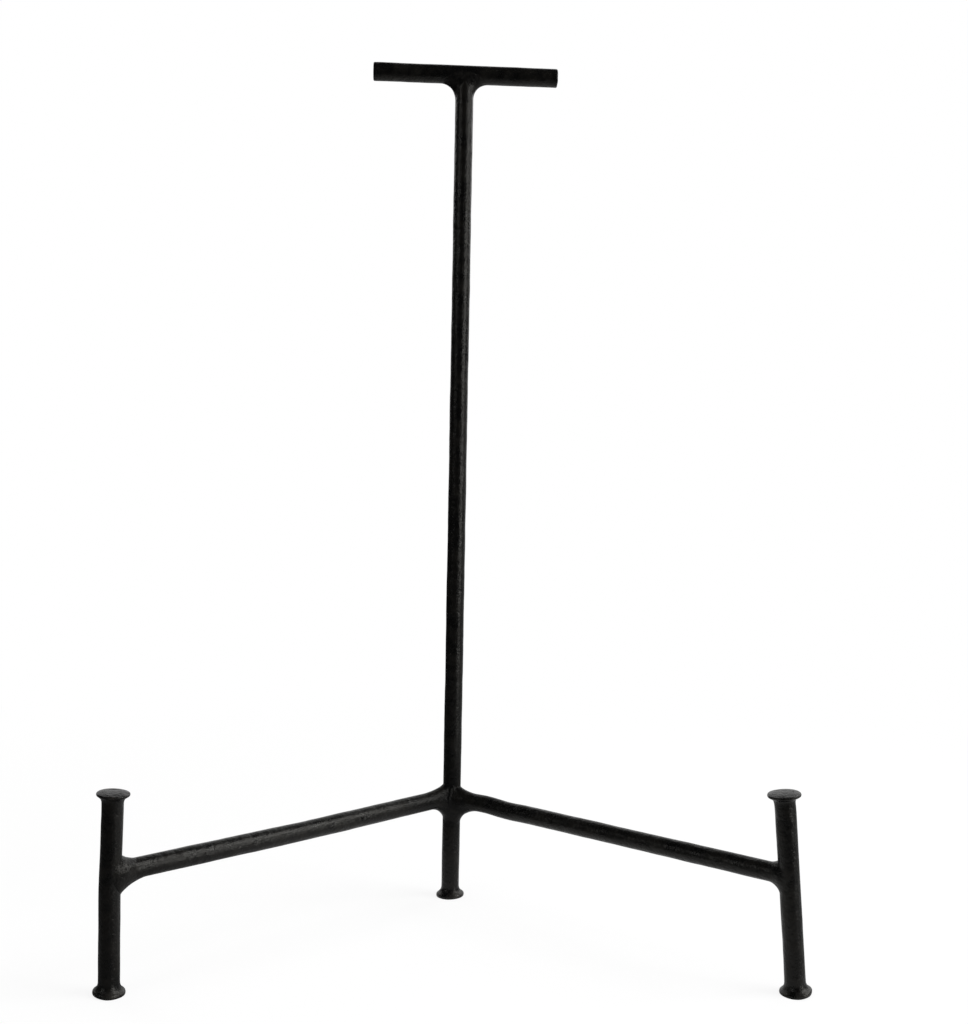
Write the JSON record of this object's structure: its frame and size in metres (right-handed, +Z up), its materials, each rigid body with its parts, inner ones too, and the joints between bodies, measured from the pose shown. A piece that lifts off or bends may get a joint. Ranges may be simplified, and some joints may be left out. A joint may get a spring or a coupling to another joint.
{
  "type": "display easel",
  "caption": "Black welded-bar display easel: a tall upright with a crossbar on top, and splayed arms to headed front legs, holding a plate or picture on show.",
  "frame": {"origin": "on the floor, in the middle of the box round the whole easel", "axes": "+X to the right as seen from the front, +Y to the back, +Z up"},
  "size_m": [0.223, 0.096, 0.305],
  "materials": {
    "black_finish": "satin black over hand-forged round bar"
  },
  "bodies": {
    "root": {"upright": "black_finish", "crossbar": "black_finish", "left_arm": "black_finish", "right_arm": "black_finish", "left_leg": "black_finish", "right_leg": "black_finish", "crossbar_weld": "black_finish", "left_root_weld": "black_finish", "right_root_weld": "black_finish", "left_leg_weld": "black_finish", "right_leg_weld": "black_finish"}
  },
  "joints": []
}
